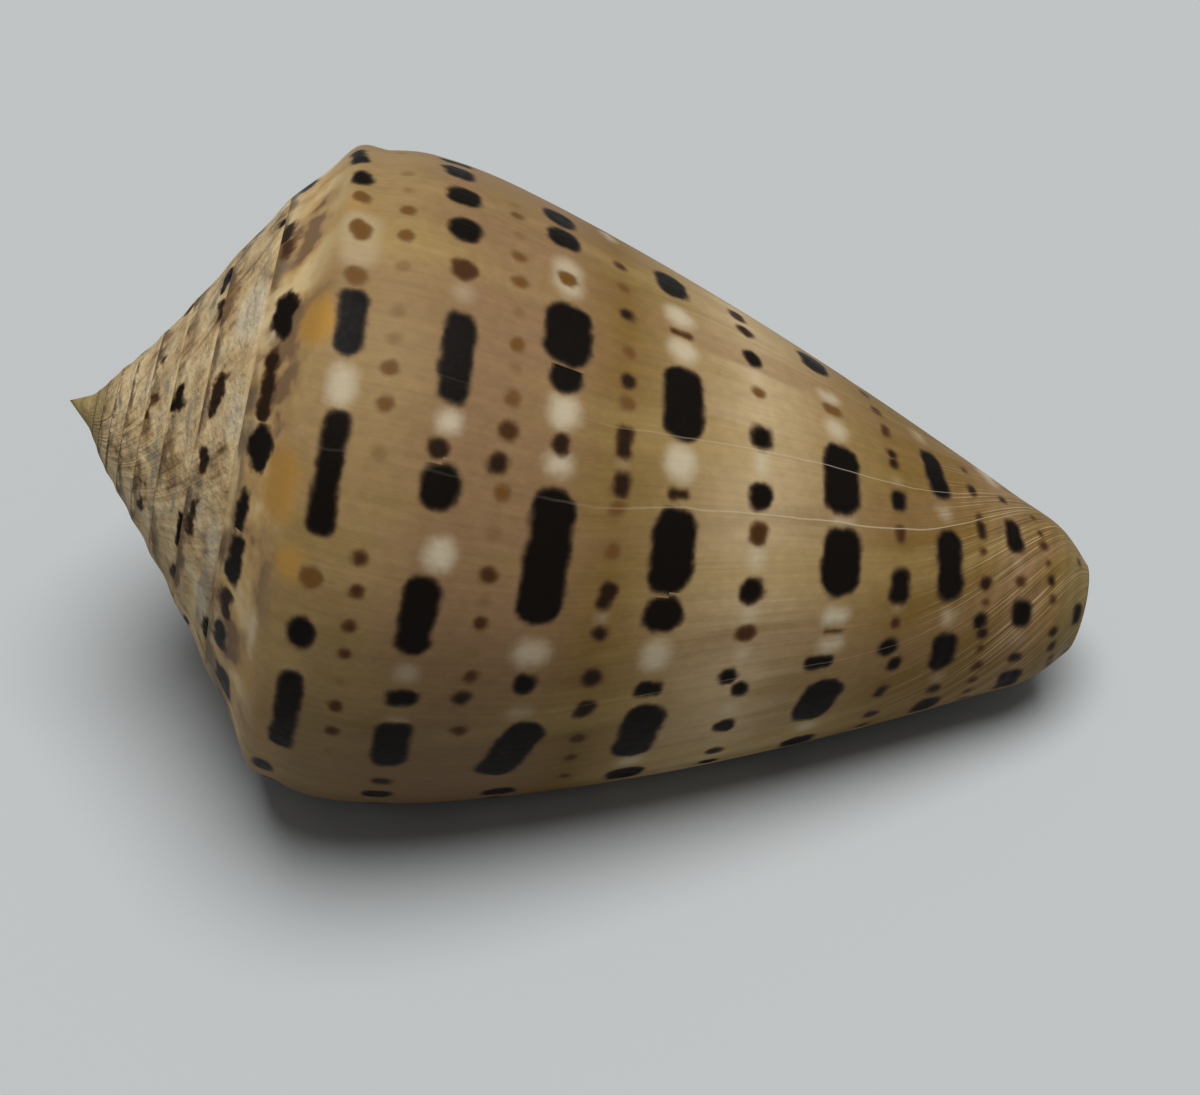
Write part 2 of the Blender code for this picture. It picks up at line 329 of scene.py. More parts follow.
ROWS = [
    Row(
        places=(12.8, 14.1, 14.3),
        marks=[
            dash(163, 2.4, 0.97), dot(151.5, 1.3, wide=0.8), dot(145, 0.8, ORANGE),
            dot(136, 1.1, ORANGE, wide=0.85), dot(125.5, 0.9, ORANGE, wide=1.1), dash(116.8, 3.3, 1.32),
            dash(91, 5.5, 1.19), dot(73.5, 1.0, ORANGE), dot(63.3, 1.7, wide=0.75),
            dash(45.5, 5.7, 1.19), dash(23, 1.6, 0.97, shift=-0.6),
        ],
        patches=[patch(134, 4.2, 2.4, 0.35), patch(105.5, 2.4, 1.5, 0.9), patch(55, 1.0, 1.2, 0.3)],
    ),
    Row(
        places=(15.0, 16.1, 16.6),
        marks=[
            dot(156, 0.5, FAINT), dot(149.5, 0.5, FAINT), dot(143, 0.6, ORANGE), dot(136, 0.6, ORANGE),
            dot(129, 0.6, FAINT), dot(120, 0.6, FAINT), dot(115, 0.6, FAINT), dot(110, 0.65, ORANGE),
            dot(104, 0.6, ORANGE), dot(96, 0.6, FAINT), dot(79, 0.7, BROWN), dot(73.5, 0.6, BROWN),
            dot(67, 0.6, BROWN), dot(62, 0.65, BROWN), dot(56.5, 0.5, FAINT), dot(51, 0.6, BROWN),
            dot(45, 0.6, BROWN), dot(39, 0.5, FAINT), dot(29, 0.5, FAINT),
        ],
        patches=[],
    ),
    Row(
        places=(17.55, 19.0, 19.35),
        marks=[
            dash(163, 1.8, 1.42), dash(152, 1.7, 1.6), dash(141.7, 1.6, 1.54),
            dot(132, 1.25, BROWN, wide=0.9), dash(114.8, 4.4, 1.45), dot(99, 0.95, DARK, shift=-0.3),
            dash(93, 2.1, 1.75), dash(71, 3.9, 1.65), dash(54.6, 0.95, 1.54), dash(42.6, 3.6, 1.66),
            dash(30, 0.8, 1.0, tone=DARK), dash(22.5, 1.2, 1.42),
        ],
        patches=[
            # The patch 82 degrees back on the next line is a painted highlight, a cream glint drawn as a
            # white patch.
            patch(127, 1.2, 1.2, 0.35), patch(103.5, 1.3, 1.35), patch(82, 1.9, 1.6, 1.0, shift=0.5),
            patch(60, 1.2, 1.3, 0.4), patch(49, 0.8, 1.1, 0.3),
        ],
    ),
    Row(
        places=(20.1, 21.7, 22.3),
        marks=[
            dot(157, 0.5, FAINT), dot(153, 0.6, ORANGE), dot(146, 0.5, FAINT), dot(140, 0.65, ORANGE),
            dot(133.7, 0.7, ORANGE), dot(127, 0.55, FAINT), dot(120.4, 0.65, ORANGE),
            dot(116, 0.6, FAINT), dot(110.6, 0.7, ORANGE), dot(104.8, 0.85, BROWN),
            dot(98.8, 0.95, DARK, shift=-0.3), dot(94.2, 0.65, ORANGE), dot(87, 0.6, FAINT),
            dot(79.8, 0.7, BROWN), dot(75.2, 0.6, FAINT), dot(71, 0.6, BROWN), dot(65.4, 0.6, FAINT),
            dot(60.3, 0.7, BROWN), dot(55.4, 0.85, DARK, shift=-0.2), dot(47.6, 0.75, BROWN),
            dot(38, 0.6, FAINT),
        ],
        patches=[],
    ),
    Row(
        places=(22.45, 24.15, 24.9),
        marks=[
            dash(161.5, 1.9, 1.54), dash(152.6, 1.8, 1.6), dash(140, 0.8, 1.0, tone=ORANGE),
            dash(126.6, 3.4, 2.35), dash(118.6, 2.0, 1.55), dot(105, 1.0, DARK, wide=0.8),
            dash(84.4, 6.4, 2.08), dot(59.1, 1.15), dash(40.5, 4.8, 2.02, tilt=-17),
            dash(20, 1.6, 1.66),
        ],
        patches=[
            patch(140.5, 3.2, 1.8, 0.7), patch(111, 2.0, 1.9), patch(101.3, 1.3, 1.6, 0.9),
            patch(65.9, 1.7, 2.1, 0.75), patch(52, 1.0, 1.4, 0.3),
        ],
    ),
    Row(
        places=(25.3, 27.1, 27.85),
        marks=[
            dot(159.5, 0.45, FAINT), dot(153, 0.65, BROWN), dot(145.2, 0.6, ORANGE),
            dot(137.6, 0.7, DARK), dot(128.3, 0.65, ORANGE), dot(121.6, 0.65, DARK),
            dot(116.8, 0.6, ORANGE), dash(109, 1.5, 0.75, tone=DARK), dash(100.5, 1.2, 0.9, tone=DARK),
            dot(96, 0.7, ORANGE), dot(87.8, 0.7, ORANGE), dash(78.6, 1.4, 0.8, tilt=-20, tone=DARK),
            dot(70.9, 0.7, DARK), dot(60.7, 1.0, DARK), dash(52.6, 1.1, 0.85, tilt=-10, tone=DARK),
            dot(43.7, 0.75, BROWN), dot(36.4, 0.65, BROWN), dot(27, 0.6, BROWN),
        ],
        patches=[patch(105, 0.6, 0.6, 0.3), patch(74.5, 0.7, 0.7, 0.4)],
    ),
    Row(
        places=(28.1, 29.85, 30.7),
        marks=[
            dash(157.5, 2.3, 1.66), dash(139.6, 0.22, 1.0, tone=BROWN), dash(121.8, 3.8, 2.08),
            dash(101.7, 0.5, 1.0, tone=DARK), dash(89.7, 4.0, 2.08), dash(76, 1.7, 1.9),
            dash(57.7, 0.9, 1.3), dash(43.7, 4.2, 2.02, tilt=-6), dash(22, 2.2, 1.78),
        ],
        patches=[
            patch(145, 1.8, 1.8, 0.95), patch(134.8, 1.8, 1.8, 0.95), patch(108.2, 2.1, 1.85),
            patch(66.5, 2.1, 1.7, 0.85), patch(52, 0.6, 1.2, 0.4), patch(31, 1.4, 1.5, 0.6),
        ],
    ),
    Row(
        places=(31.75, 33.85, 34.7),
        marks=[
            dot(162.5, 1.2, DARK, wide=0.7), dot(154.8, 0.9, DARK, wide=0.9),
            dot(144, 1.0, wide=0.85), dot(133.1, 0.6, ORANGE, wide=1.1), dash(120.9, 1.25, 1.1),
            dash(106.3, 1.25, 1.2), dot(97.3, 1.0, BROWN, wide=0.85), dot(83.5, 1.2),
            dot(72.4, 0.8, BROWN, wide=1.15), dot(60.4, 0.85, shift=-0.4),
            dot(56.4, 0.85, shift=0.3), dot(42.4, 0.9, wide=1.25), dot(29, 0.8, DARK),
            dot(18.5, 0.9),
        ],
        patches=[
            patch(138.1, 0.9, 0.9, 0.5), patch(114.4, 1.2, 0.85, 0.9), patch(91.3, 1.1, 0.9, 0.85),
            patch(77.7, 0.9, 0.9, 0.75), patch(67, 0.9, 0.85, 0.65), patch(49.5, 0.9, 0.9, 0.5),
        ],
    ),
    Row(
        places=(35.85, 38.05, 38.9),
        marks=[
            dash(162, 2.0, 1.54), dash(141, 0.55, 0.9, tone=ORANGE), dash(118.5, 3.5, 1.95),
            dash(94.5, 3.3, 2.1), dash(73.9, 0.13, 0.9, tone=BROWN),
            dash(63.5, 0.75, 1.42, shift=-0.4), dash(47.6, 3.0, 2.08, tilt=-14), dash(20, 2.0, 1.66),
        ],
        patches=[
            patch(146, 1.0, 1.5, 0.75), patch(134, 1.6, 1.6, 0.8), patch(106.3, 0.6, 1.3, 0.55),
            patch(78.6, 1.0, 1.6), patch(69.5, 1.1, 1.6, 0.9), patch(34, 1.3, 1.4, 0.6),
        ],
    ),
    Row(
        places=(38.9, 41.1, 41.95),
        marks=[
            dot(164.7, 0.5, BROWN), dot(155.2, 0.6, BROWN), dot(145.8, 0.7, BROWN, wide=0.65),
            dot(136, 0.55, DARK, wide=0.9), dot(132.6, 0.6, DARK, wide=0.9), dash(118.9, 1.1, 0.82),
            dash(107.5, 0.9, 0.5, tone=BROWN), dash(90.1, 1.65, 1), dot(77.4, 0.35, BROWN),
            dot(67.9, 1.0, wide=0.95, shift=-0.2), dot(61.4, 0.8, wide=0.85, shift=0.3),
            dash(47.6, 0.9, 0.6, tilt=-20, tone=DARK), dot(32.2, 0.75, DARK), dot(20, 0.7, DARK),
        ],
        patches=[patch(126, 0.5, 0.5, 0.3), patch(83, 0.5, 0.5, 0.3)],
    ),
    Row(
        places=(41.3, 43.7, 44.7),
        marks=[
            dash(138, 2.9, 1.24), dash(101.3, 3.5, 1.42), dash(64.4, 2.1, 1.36),
            dot(42.5, 0.6, DARK, wide=1.3), dash(27, 1.8, 1.36),
        ],
        patches=[
            patch(121.7, 0.8, 0.9, 0.6), patch(80.8, 0.9, 0.8, 0.65), patch(50, 0.8, 0.8, 0.4),
            patch(157, 1.0, 0.9, 0.5),
        ],
    ),
    Row(
        places=(43.7, 45.65, 46.6),
        marks=[
            dot(153, 0.4, BROWN), dot(141.2, 0.55, DARK, wide=0.8), dot(128, 0.35, BROWN),
            dash(121.4, 0.95, 0.45, tone=DARK), dot(97.1, 0.65, DARK),
            dot(112, 0.4, BROWN), dot(88.5, 0.4, BROWN), dot(80.3, 0.8, shift=-0.2),
            dot(73, 0.5, DARK), dot(65, 0.4, BROWN), dot(53.2, 0.55, BROWN), dot(43, 0.4, BROWN),
            dot(32, 0.55, BROWN), dot(20, 0.45, BROWN),
        ],
        patches=[],
    ),
    Row(
        places=(45.7, 47.6, 48.5),
        marks=[
            dot(148, 0.35, DARK, wide=1.2), dash(127.2, 1.75, 1), dot(103, 0.5, BROWN),
            dash(84.6, 1.45, 1.12), dot(56.5, 0.5, DARK, wide=1.3), dash(33.5, 2.0, 1.18),
        ],
        patches=[patch(112, 0.5, 0.6, 0.3), patch(70, 0.5, 0.6, 0.3)],
    ),
    Row(
        places=(47.6, 49.35, 50.4),
        marks=[
            dot(150, 0.3, BROWN), dot(139, 0.35, DARK), dot(130, 0.45, BROWN),
            dot(119, 0.3, BROWN), dot(108, 0.5, DARK, wide=0.8), dot(96, 0.35, BROWN),
            dot(85, 0.3, FAINT), dot(73, 0.4, DARK), dot(60, 0.55, DARK, wide=0.8),
            dot(46, 0.35, BROWN), dot(35, 0.3, DARK), dot(25, 0.4, BROWN),
        ],
        patches=[],
    ),
    Row(
        places=(50.6, 51.0, 51.2),
        marks=[dash(86, 1.2, 0.7), dot(140, 0.35, BROWN), dot(35, 0.4, DARK)],
        patches=[],
    ),
]


def flame(back, place, around, down, tone=BLACK):
    """A mark on the slope above the shoulder, with its sizes around the shell and down the slope."""
    return Mark(-back, place, around, down, tone, 0.0, DOT_ROUND)


FLAMES = [
    flame(138, 10.1, 1.4, 0.9, BROWN), flame(118.5, 10.7, 2.3, 1.4), flame(103, 10.6, 3.2, 0.9, DARK),
    flame(90, 10.8, 1.9, 1.6), flame(76, 10.5, 2.0, 0.8), flame(65.5, 10.6, 2.6, 1.0),
    flame(54, 10.5, 1.6, 0.7, DARK), flame(44, 10.4, 2.0, 0.9), flame(29.7, 10.9, 2.4, 1.3),
    flame(11, 10.6, 1.8, 1.0),
]
# Orange patches between the flames and the first row's dashes.
ORANGE_PATCHES = [
    flame(116, 12.3, 2.6, 2.6, 1.0), flame(86, 12.1, 3.6, 2.6, 0.9), flame(75, 13.2, 1.8, 1.6, 0.8),
    flame(143, 13.0, 1.6, 1.6, 0.4), flame(47, 12.0, 2.6, 2.0, 0.5),
]
CHALKY_PATCHES = [
    flame(483, 11.7, 3.2, 2.2, 0.8), flame(455, 12.0, 2.2, 1.6, 0.6), flame(424, 12.1, 2.6, 1.4, 0.6),
    flame(404, 11.8, 1.6, 1.8, 0.6), flame(56, 12.1, 2.4, 0.5, 0.7),
]
# Turn angles between which the photo shows the rows, and where the rows start and end.
FIRST_SEEN = -168
LAST_SEEN = -18
PATTERN_START = -372
PATTERN_END = 4
# Beyond what the photo shows, in mm: gaps between marks, the gap above which a white patch lies in it,
# how much of that gap stays bare, and how far marks stray from the row; and how white the patches are.
GAP = (1.0, 2.2)
PATCHED_GAP = 1.5
GAP_BESIDE_PATCH = 0.4
ROW_WANDER = 0.15
HIDDEN_PATCH_STRENGTHS = (0.3, 1.0)
# The flames of the spire: their number, places on the slope, sizes at the lip in mm and tilt.
FLAMES_IN_A_TURN = 17
FLAMED_TURNS = 4
LAST_SPIRE_FLAME = -138
SPIRE_FLAME_PLACES = (10.1, 10.4, 10.7, 12.3)
SPIRE_FLAME_WANDER = 0.2
SPIRE_FLAME_AROUND = (1.2, 3.2)
SPIRE_FLAME_DOWN = (0.5, 1.2)
SPIRE_FLAME_TONES = (BLACK, DARK, BROWN, FAINT)
SPIRE_FLAME_SHIFT = 0.4
SPIRE_FLAME_TILT = 12
SEED = 4


def smooth_step(value):
    value = np.clip(value, 0.0, 1.0)
    return value * value * (3 - 2 * value)


def profile_points():
    along, radius = SHOULDER
    middle = (1 + 1 / GROWTH) / 2
    return np.array(
        [
            (along / GROWTH, radius / GROWTH),
            (along * middle + RAMP_HOLLOW, radius * middle - RAMP_HOLLOW),
            SHOULDER,
            *SIDE,
        ]
    )


PROFILE = profile_points()
SHOULDER_PLACE = 2
LAST_ROW = RAMP_ROWS + SIDE_ROWS


def on_profile(place):
    """Catmull-Rom curve through the profile; place counts its points from 0."""
    last = len(PROFILE) - 1
    index = np.minimum(place.astype(int), last - 1)
    t = (place - index)[..., None]
    a = PROFILE[np.maximum(index - 1, 0)]
    b = PROFILE[index]
    c = PROFILE[index + 1]
    d = PROFILE[np.minimum(index + 2, last)]
    curve = 2 * b + (c - a) * t + (2 * a - 5 * b + 4 * c - d) * t**2
    curve = (curve + (3 * b - a - 3 * c + d) * t**3) / 2
    return curve[..., 0], curve[..., 1]


def row_places(rows):
    ramp = SHOULDER_PLACE * rows / RAMP_ROWS
    side = SHOULDER_PLACE + (rows - RAMP_ROWS) / SIDE_ROWS * (len(PROFILE) - 1 - SHOULDER_PLACE)
    return np.where(rows <= RAMP_ROWS, ramp, side)


def grown(turn, along, radius):
    """A profile point of the lip, moved back to an earlier turn angle."""
    scale = GROWTH ** (turn / 360)
    share = (along - SHOULDER[0]) / (LENGTH - SHOULDER[0])
    side = SHOULDER[0] * scale + (LENGTH - SHOULDER[0] * scale) * share
    return np.where(along <= SHOULDER[0], along * scale, side), radius * scale


def outer_surface(turn, rows):
    along, radius = grown(turn, *on_profile(row_places(rows)))
    fade = 1 - smooth_step((turn + 360) / CORE_PULL_FADE)
    front = smooth_step((along - CORE_PULL_START) / (LENGTH - CORE_PULL_START))
    return along, radius * (1 - CORE_PULL * fade * front)


def inner_surface(turn, rows):
    """The inside of the last turn's wall, square to the outer profile."""
    place = row_places(rows)
    before = on_profile(np.maximum(place - SLOPE_STEP, 0))
    after = on_profile(np.minimum(place + SLOPE_STEP, len(PROFILE) - 1))
    run = np.hypot(after[0] - before[0], after[1] - before[1])
    along, radius = on_profile(place)
    wall = LIP_WALL + (WALL - LIP_WALL) * smooth_step(-turn / LIP_TAPER)
    front = smooth_step((along - SHOULDER[0]) / (LENGTH - SHOULDER[0]))
    wall = wall * (1 - (1 - FRONT_WALL_SHARE) * front)
    deeper = along + wall * (after[1] - before[1]) / run
    return grown(turn, deeper, radius - wall * (after[0] - before[0]) / run)


def laid_down(turn, along, radius):
    """Points around the coiling axis, in mm, with the axis dipping to the front and +Z up."""
    share = along / SHOULDER[0]
    wave = np.sin(2 * np.pi * np.minimum(share, 1.0))
    full = smooth_step((share - FULLEST_SHARE) / FULLNESS_FADE) - 1
    hollow = np.where(share < FULLEST_SHARE, wave, full)
    narrow = APEX_NARROWING * (1 - smooth_step(along / APEX_LENGTH))
    radius = (radius - SPIRE_HOLLOW * hollow) * (1 - narrow)
    front = np.maximum(along - FRONT_LEAN_START, 0.0) / (LENGTH - FRONT_LEAN_START)
    apex = 1 - smooth_step(along / APEX_LEAN_LENGTH)
    lean = APEX_LEAN * apex + SPIRE_LEAN * wave - FRONT_LEAN * front**2
    around = np.radians(turn + LIP_FROM_DOWN)
    lean_around = math.radians(LEAN_ANGLE + LIP_FROM_DOWN)
    down = radius * np.cos(around) + lean * math.cos(lean_around)
    side = radius * np.sin(around) + lean * math.sin(lean_around)
    dip = math.radians(AXIS_DIP)
    x = along * math.cos(dip) - down * math.sin(dip)
    z = -along * math.sin(dip) - down * math.cos(dip)
    return np.stack([x, side, z], axis=-1)


def arc_length(place):
    """Distance along the lip's profile, in mm, for a place on it."""
    along, radius = on_profile(np.linspace(0, len(PROFILE) - 1, 400))
    length = np.concatenate([[0.0], np.cumsum(np.hypot(np.diff(along), np.diff(radius)))])
    return np.interp(place, along, length)


def radius_at(place):
    along, radius = on_profile(np.linspace(0, len(PROFILE) - 1, 400))
    return np.interp(place, along, radius)


def row_path(row, turn):
    """Where a row lies on the profile at a turn angle."""
    curve = np.polyfit(ROW_TURNS, row.places, 2)
    return np.polyval(curve, np.maximum(turn, PATTERN_LEVEL))


def in_its_row(row, mark):
    """The mark with its own place, leaning as its row does."""
    place = float(row_path(row, mark.turn))
    rise = arc_length(row_path(row, mark.turn + 1)) - arc_length(row_path(row, mark.turn - 1))
    run = math.radians(2) * radius_at(place) * GROWTH ** (mark.turn / 360)
    lean = math.degrees(math.atan2(rise, run))
    return mark._replace(place=place + mark.place, tilt=mark.tilt + lean)


def carried_on(row, start, end, dice):
    """Marks and patches for a stretch of a row that the photo doesn't show, like its other ones."""
    marks, patches = [], []
    turn = start
    while True:
        pattern = row.marks[dice.integers(len(row.marks))]
        degrees = math.degrees(1 / radius_at(float(row_path(row, turn)))) / GROWTH ** (turn / 360)
        gap = dice.uniform(*GAP)
        if gap > PATCHED_GAP and row.patches:
            middle = turn + gap / 2 * degrees
            whiteness = dice.uniform(*HIDDEN_PATCH_STRENGTHS)
            size = gap - GAP_BESIDE_PATCH
            patches.append(Mark(middle, 0.0, size, pattern.width, whiteness, 0.0, DOT_ROUND))
        turn += (gap + pattern.length / 2) * degrees
        if turn + pattern.length / 2 * degrees > end:
            return marks, patches
        marks.append(pattern._replace(turn=turn, place=dice.uniform(-ROW_WANDER, ROW_WANDER)))
        turn += pattern.length / 2 * degrees


def spire_flames(dice):
    """Irregular dark flames on the slope above the shoulder, through the last turns of the spire."""
    flames = []
    step = 360 / FLAMES_IN_A_TURN
    for turn in np.arange(-360 * FLAMED_TURNS, LAST_SPIRE_FLAME, step):
        small = GROWTH ** (turn / 360)
        place = dice.choice(SPIRE_FLAME_PLACES) + dice.uniform(-SPIRE_FLAME_WANDER, SPIRE_FLAME_WANDER)
        around = dice.uniform(*SPIRE_FLAME_AROUND) * small
        down = dice.uniform(*SPIRE_FLAME_DOWN) * small
        tone = dice.choice(SPIRE_FLAME_TONES)
        middle = turn + dice.uniform(-SPIRE_FLAME_SHIFT, SPIRE_FLAME_SHIFT) * step
        tilt = dice.uniform(-SPIRE_FLAME_TILT, SPIRE_FLAME_TILT)
        flames.append(Mark(middle, place, around, down, tone, tilt, DOT_ROUND))
    return flames


def all_marks():
    """Every dark mark, white patch and orange patch, with its place on the profile."""
    dice = np.random.default_rng(SEED)
    marks, patches = list(FLAMES), list(CHALKY_PATCHES)
    orange = list(ORANGE_PATCHES)
    for row in ROWS:
        behind = carried_on(row, PATTERN_START, FIRST_SEEN, dice)
        ahead = carried_on(row, LAST_SEEN, PATTERN_END, dice)
        marks += [in_its_row(row, mark) for mark in row.marks + behind[0] + ahead[0]]
        patches += [in_its_row(row, mark) for mark in row.patches + behind[1] + ahead[1]]
    return marks + spire_flames(dice), patches, orange


def around_mark(mark, turn, place):
    """Distances from the marks' middles, in mm: along the row and down the profile."""
    small = GROWTH ** (mark[..., 0] / 360)
    across = np.radians(turn - mark[..., 0]) * radius_at(mark[..., 1]) * small
    down = arc_length(place) - arc_length(mark[..., 1])
    down = down * np.where(mark[..., 1] < SHOULDER[0], small, 1.0)
    tilt = np.radians(mark[..., 5])
    return across * np.cos(tilt) + down * np.sin(tilt), down * np.cos(tilt) - across * np.sin(tilt)


def nearest_marks(marks, corners, sizes):
    """For each face corner: its place in the nearest mark, with its tone, and its half sizes and corner.

    A face's corners share one mark, so the shader can draw a clean outline inside the face.
    """
    marks = np.array(marks)
    starts = np.concatenate([[0], np.cumsum(sizes)[:-1]])
    middles = np.add.reduceat(corners, starts, axis=0) / sizes[:, None]
    nearest = np.full(len(sizes), np.inf)
    chosen = np.zeros(len(sizes), dtype=int)
    for number, mark in enumerate(marks):
        across, down = around_mark(mark, middles[:, 0], middles[:, 1])
        beside = np.maximum(abs(across) - mark[2] / 2, 0)
        away = np.hypot(beside, np.maximum(abs(down) - mark[3] / 2, 0))
        closer = away < nearest
        nearest[closer] = away[closer]
        chosen[closer] = number
    own = marks[np.repeat(chosen, sizes)]
    across, down = around_mark(own, corners[:, 0], corners[:, 1])
    corner_radius = np.minimum(own[:, 2], own[:, 3]) / 2 * own[:, 6]
    places = np.stack([across, down, own[:, 4]], axis=-1)
    return places, np.stack([own[:, 2] / 2, own[:, 3] / 2, corner_radius], axis=-1)


def row_numbers(corners):
    """Where each corner lies among the rows: 0 on the first, 1 on the second and so on."""
    paths = np.stack([row_path(row, corners[:, 0]) for row in ROWS])
    number = np.zeros(len(corners))
    for before, after in zip(paths, paths[1:]):
        number += np.clip((corners[:, 1] - before) / (after - before), 0, 1)
    return number


class FineShell:
    """Collects vertices and faces. Each face corner keeps its turn angle, place and how far inside it is."""

    def __init__(self):
        self.points = []
        self.count = 0
        self.faces = []
        self.corners = []

    def add_points(self, points):
        ids = np.arange(self.count, self.count + points.size // 3).reshape(points.shape[:-1])
        self.points.append(points.reshape(-1, 3))
        self.count += ids.size
        return ids

    def add_face(self, ids, corners):
        self.faces.append([int(i) for i in ids])
        self.corners.extend(corners)

    def add_sheet(self, ids, turn, place, inside, flip=False):
        """Quads of a grid of vertices; turn, place and inside are given for each grid point."""
        grid = np.broadcast_arrays(ids, turn, place, inside)
        quads = [np.stack([g[:-1, :-1], g[1:, :-1], g[1:, 1:], g[:-1, 1:]], -1) for g in grid]
        if flip:
            quads = [q[..., ::-1] for q in quads]
        self.faces.extend(quads[0].reshape(-1, 4).astype(int).tolist())
        self.corners.extend(np.stack(quads[1:], -1).reshape(-1, 3).tolist())


def build_fine_shell():
    shell = FineShell()
    first = -COLUMNS * (SPIRE_TURNS + 1)
    columns = np.arange(first, 1)
    turn = (columns * 360 / COLUMNS)[:, None].astype(float)
    rows = np.arange(LAST_ROW + 1)[None, :]
    place = on_profile(row_places(rows))[0]
    surface = laid_down(turn, *outer_surface(turn, rows))

    ids = np.full((len(columns), LAST_ROW + 1), -1)
    ids[:COLUMNS, 0] = shell.add_points(surface[:COLUMNS, 0])
    ids[:, 1 : RAMP_ROWS + 1] = shell.add_points(surface[:, 1 : RAMP_ROWS + 1])
    ids[COLUMNS:, 0] = ids[:-COLUMNS, RAMP_ROWS]
    body = -1 - COLUMNS - CAVITY_COLUMNS
    ids[body:, RAMP_ROWS + 1 :] = shell.add_points(surface[body:, RAMP_ROWS + 1 :])

    shell.add_sheet(ids[:, : RAMP_ROWS + 1], turn, place[:, : RAMP_ROWS + 1], 0.0)
    last = slice(-1 - COLUMNS, None)
    side = slice(RAMP_ROWS, None)
    shell.add_sheet(ids[last, side], turn[last], place[:, side], 0.0)

    under = slice(body, -COLUMNS)
    deep = slice(CAVITY_TOP_ROW, None)
    depth = smooth_step((-360 - turn[under]) / LINING_START)
    shell.add_sheet(ids[under, deep], turn[under], place[:, deep], depth)

    cavity = slice(-1 - CAVITY_COLUMNS, None)
    inner = laid_down(turn[cavity], *inner_surface(turn[cavity], rows))[:, FIRST_INNER_ROW:]
    inner_ids = np.full((CAVITY_COLUMNS + 1, LAST_ROW + 1), -1)
    inner_ids[:, FIRST_INNER_ROW:] = shell.add_points(inner)
    inner_ids[:, FIRST_INNER_ROW - 1] = ids[under, CAVITY_TOP_ROW]
    inner_sheet = slice(FIRST_INNER_ROW - 1, None)
    shell.add_sheet(inner_ids[:, inner_sheet], turn[cavity], place[:, inner_sheet], 1.0, flip=True)

    rim = np.stack([ids[cavity, -1], inner_ids[:, -1]], axis=1)
    shell.add_sheet(rim, turn[cavity], place[:, -2:], np.array([[RIM_INSIDE, 1.0]]))

    wall = slice(FIRST_INNER_ROW, None)
    lip_out = surface[-1, wall]
    lip_in = inner[-1]
    middle = (lip_out + lip_in) / 2
    onward = laid_down(turn[-1] + LIP_ROUNDING, *outer_surface(turn[-1] + LIP_ROUNDING, rows))[0, wall]
    middle_ids = shell.add_points(middle + (onward - lip_out))
    lip = np.stack([ids[-1, wall], middle_ids, inner_ids[-1, wall]], axis=1)
    shell.add_sheet(lip, 0.0, place[0, wall][:, None], np.array([[0.0, 0.5, 1.0]]), flip=True)

    roof = [ids[-1, row] for row in range(FIRST_INNER_ROW + 1)]
    roof += [middle_ids[0], inner_ids[-1, FIRST_INNER_ROW]]
    roof += [ids[-1 - COLUMNS, row] for row in range(CAVITY_TOP_ROW, RAMP_ROWS, -1)]
    shell.add_face(roof, [[0.0, SHOULDER[0], 0.5]] * len(roof))

    end = [inner_ids[0, row] for row in range(FIRST_INNER_ROW, LAST_ROW + 1)]
    end += [ids[body, row] for row in range(LAST_ROW, CAVITY_TOP_ROW - 1, -1)]
    shell.add_face(end, [[0.0, LENGTH, 1.0]] * len(end))

    tip = shell.add_points(laid_down(np.array([0.0]), np.array([FRONT_POINT]), np.array([0.0])))[0]
    loop = list(ids[body : -CAVITY_COLUMNS, -1]) + [inner_ids[0, -1]]
    for start, after in zip(loop, loop[1:] + loop[:1]):
        shell.add_face([start, after, tip], [[0.0, LENGTH, TIP_INSIDE]] * 3)

    apex = shell.add_points(laid_down(np.array([0.0]), np.array([0.0]), np.array([0.0])))[0]
    loop = list(ids[:COLUMNS, 0]) + [ids[0, row] for row in range(RAMP_ROWS, 0, -1)]
    for start, after in zip(loop, loop[1:] + loop[:1]):
        shell.add_face([after, start, apex], [[float(turn[0, 0]), SHOULDER[0] / GROWTH, 0.0]] * 3)
    return shell


def on_the_frame(points):
    """Wears the lowest spots flat and fits the shell to the box of the CAD node it stands for."""
    points[:, 2] = np.maximum(points[:, 2], points[:, 2].min() + WORN)
    low, high = (np.array(corner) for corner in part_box(NODE))
    lowest, highest = points.min(0), points.max(0)
    return low + (points - lowest) / (highest - lowest) * (high - low)


def keep_on_corners(mesh, name, values):
    layer = mesh.attributes.new(name, "FLOAT_VECTOR", "CORNER")
    layer.data.foreach_set("vector", values.astype(np.float32).ravel())


def shell_object(shell):
    points = on_the_frame(np.concatenate(shell.points))
    mesh = bpy.data.meshes.new("cone_shell_surface")
    mesh.from_pydata(points.tolist(), [], shell.faces)
    corners = np.array(shell.corners)
    sizes = np.array([len(face) for face in shell.faces])
    keep_on_corners(mesh, "shell_place", corners)
    keep_on_corners(mesh, "row_number", np.stack([row_numbers(corners)] * 3, axis=-1))
    for name, marks in zip(("mark", "patch", "orange"), all_marks()):
        places, mark_sizes = nearest_marks(marks, corners, sizes)
        keep_on_corners(mesh, name + "_place", places)
        keep_on_corners(mesh, name + "_size", mark_sizes)
    mesh.shade_smooth()
    obj = bpy.data.objects.new("shell_surface", mesh)
    bpy.context.scene.collection.objects.link(obj)
    return obj


